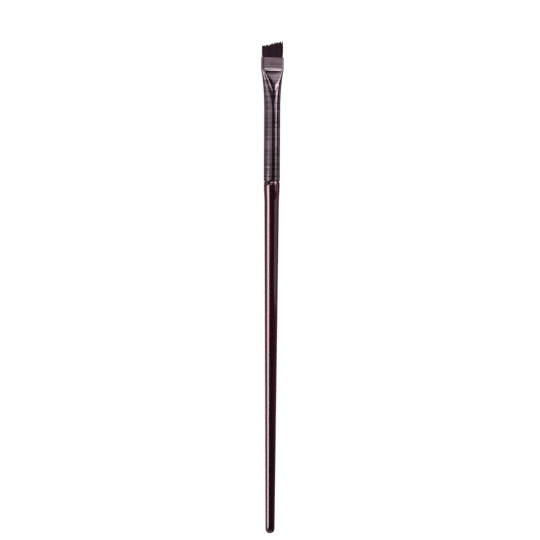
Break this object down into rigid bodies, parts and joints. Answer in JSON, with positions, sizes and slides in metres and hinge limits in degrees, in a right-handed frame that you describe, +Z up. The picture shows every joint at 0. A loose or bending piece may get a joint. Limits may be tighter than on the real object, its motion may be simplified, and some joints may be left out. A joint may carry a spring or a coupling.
{
  "type": "eyeliner brush",
  "caption": "Slim eyeliner brush lying flat: tapered lacquered wooden handle, aluminium ferrule pressed flat at its mouth, short flat tuft cut on the slant.",
  "frame": {"origin": "on the table plane, under the middle of the brush's length, with the brush's axis above it", "axes": "+Y along the brush towards the tuft, +X across the flat tuft towards its long side, +Z up from the table, square to the wide faces but for the small tilt at which the brush rests"},
  "size_m": [0.008, 0.17, 0.0058],
  "materials": {
    "handle_lacquer": "dark wine gloss lacquer over turned wood",
    "ferrule_metal": "dark plum anodised, ring brushed",
    "tuft_filament": "fine synthetic filament, soft sheen",
    "glue_resin": "cured resin, hidden inside the ferrule"
  },
  "bodies": {
    "root": {"handle": "handle_lacquer", "ferrule": "ferrule_metal", "tuft": "tuft_filament", "glue_plug": "glue_resin"}
  },
  "joints": []
}
